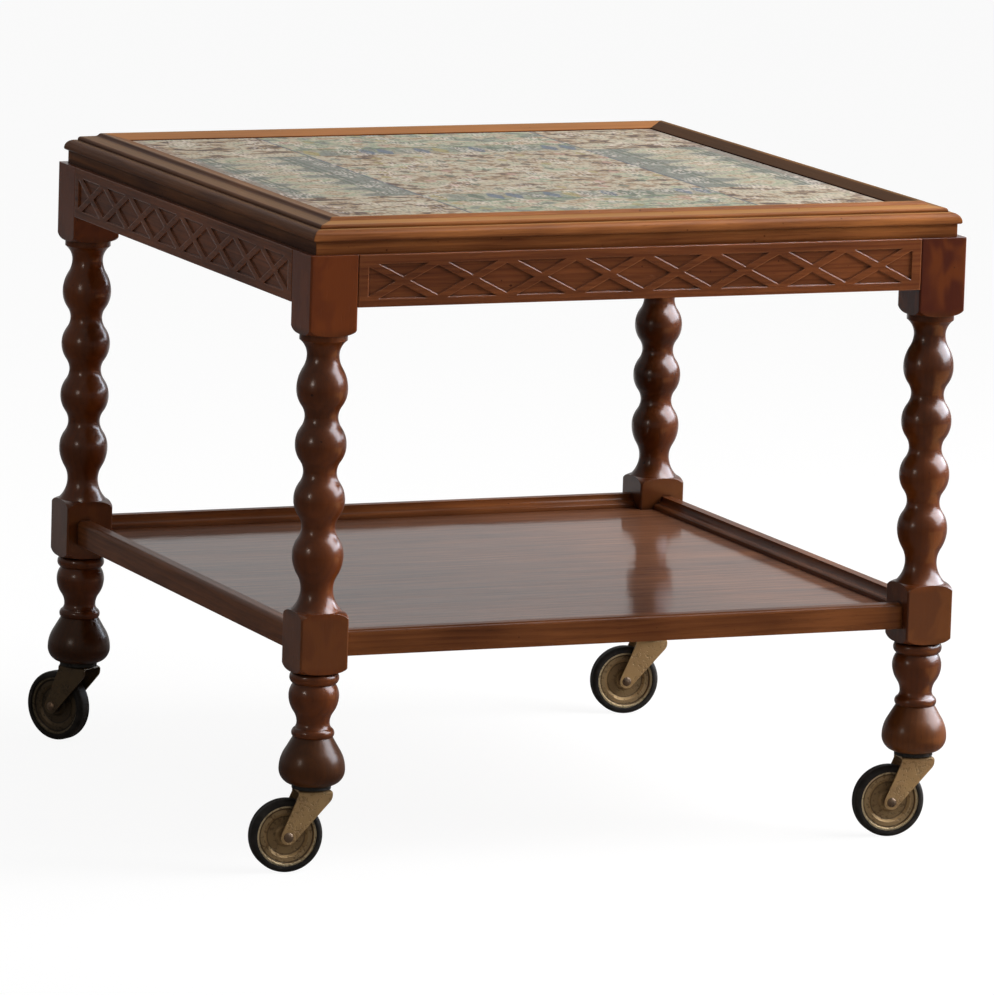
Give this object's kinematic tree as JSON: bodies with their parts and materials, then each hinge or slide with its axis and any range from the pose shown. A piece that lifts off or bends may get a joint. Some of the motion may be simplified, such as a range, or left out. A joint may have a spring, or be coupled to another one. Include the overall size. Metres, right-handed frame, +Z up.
{
  "type": "serving table",
  "caption": "Square low serving table on casters with turned legs, a carved apron, a tray shelf and a textile set in the top.",
  "frame": {"origin": "on the floor under the middle of the table, halfway between the four leg axes", "axes": "+X to the right along the front, +Y to the back, +Z up"},
  "size_m": [0.6566, 0.6511, 0.5657],
  "materials": {
    "turned_wood": "dark red-brown stain under satin-gloss varnish",
    "apron_wood": "mid brown stain under satin varnish, darker in the carving",
    "frame_wood": "orange-brown stain under satin varnish, worn lighter on the edges",
    "shelf_wood": "grey-brown stain under gloss varnish",
    "raw_wood": "unfinished",
    "woven_textile": "flat weave with faded bands and small motifs",
    "caster_brass": "dull brass plate with brown tarnish spots",
    "rivet_steel": "dull and tarnished",
    "socket_steel": "dull",
    "tyre_rubber": "matt, dusty",
    "screw_steel": "zinc plated"
  },
  "bodies": {
    "table": {"leg_front_left": "turned_wood", "foot_front_left": "turned_wood", "caster_socket_front_left": "socket_steel", "leg_front_right": "turned_wood", "foot_front_right": "turned_wood", "caster_socket_front_right": "socket_steel", "leg_back_right": "turned_wood", "foot_back_right": "turned_wood", "caster_socket_back_right": "socket_steel", "leg_back_left": "turned_wood", "foot_back_left": "turned_wood", "caster_socket_back_left": "socket_steel", "top_rail_front": "frame_wood", "apron_front": "apron_wood", "hold_block_front": "raw_wood", "shelf_rail_front": "frame_wood", "top_rail_right": "frame_wood", "apron_right": "apron_wood", "hold_block_right": "raw_wood", "shelf_rail_right": "frame_wood", "top_rail_back": "frame_wood", "apron_back": "apron_wood", "hold_block_back": "raw_wood", "shelf_rail_back": "frame_wood", "top_rail_left": "frame_wood", "apron_left": "apron_wood", "hold_block_left": "raw_wood", "shelf_rail_left": "frame_wood", "wood_screws": "screw_steel", "top_panel": "raw_wood", "top_textile": "woven_textile", "shelf_panel": "shelf_wood"},
    "swivel_front_left": {"caster_stem_front_left": "rivet_steel", "caster_fork_front_left": "caster_brass", "caster_axle_front_left": "rivet_steel"},
    "wheel_front_left": {"caster_wheel_front_left": "caster_brass", "caster_tyre_front_left": "tyre_rubber", "caster_hub_front_left": "rivet_steel"},
    "swivel_front_right": {"caster_stem_front_right": "rivet_steel", "caster_fork_front_right": "caster_brass", "caster_axle_front_right": "rivet_steel"},
    "wheel_front_right": {"caster_wheel_front_right": "caster_brass", "caster_tyre_front_right": "tyre_rubber", "caster_hub_front_right": "rivet_steel"},
    "swivel_back_right": {"caster_stem_back_right": "rivet_steel", "caster_fork_back_right": "caster_brass", "caster_axle_back_right": "rivet_steel"},
    "wheel_back_right": {"caster_wheel_back_right": "caster_brass", "caster_tyre_back_right": "tyre_rubber", "caster_hub_back_right": "rivet_steel"},
    "swivel_back_left": {"caster_stem_back_left": "rivet_steel", "caster_fork_back_left": "caster_brass", "caster_axle_back_left": "rivet_steel"},
    "wheel_back_left": {"caster_wheel_back_left": "caster_brass", "caster_tyre_back_left": "tyre_rubber", "caster_hub_back_left": "rivet_steel"}
  },
  "joints": [
    {"name": "front_left_swivel", "type": "hinge", "parent": "table", "child": "swivel_front_left", "pos_m": [-0.287, -0.287, 0.0729], "axis": [0, 0, 1], "continuous": true},
    {"name": "front_left_roll", "type": "hinge", "parent": "swivel_front_left", "child": "wheel_front_left", "pos_m": [-0.30883, -0.28424, 0.032], "axis": [-0.1253, -0.9921, 0], "continuous": true},
    {"name": "front_right_swivel", "type": "hinge", "parent": "table", "child": "swivel_front_right", "pos_m": [0.287, -0.287, 0.0729], "axis": [0, 0, 1], "continuous": true},
    {"name": "front_right_roll", "type": "hinge", "parent": "swivel_front_right", "child": "wheel_front_right", "pos_m": [0.26521, -0.28394, 0.032], "axis": [-0.1392, -0.9903, 0], "continuous": true},
    {"name": "back_right_swivel", "type": "hinge", "parent": "table", "child": "swivel_back_right", "pos_m": [0.287, 0.287, 0.0729], "axis": [0, 0, 1], "continuous": true},
    {"name": "back_right_roll", "type": "hinge", "parent": "swivel_back_right", "child": "wheel_back_right", "pos_m": [0.26533, 0.29082, 0.032], "axis": [-0.1736, -0.9848, 0], "continuous": true},
    {"name": "back_left_swivel", "type": "hinge", "parent": "table", "child": "swivel_back_left", "pos_m": [-0.287, 0.287, 0.0729], "axis": [0, 0, 1], "continuous": true},
    {"name": "back_left_roll", "type": "hinge", "parent": "swivel_back_left", "child": "wheel_back_left", "pos_m": [-0.29853, 0.30574, 0.032], "axis": [-0.8517, -0.524, 0], "continuous": true}
  ]
}
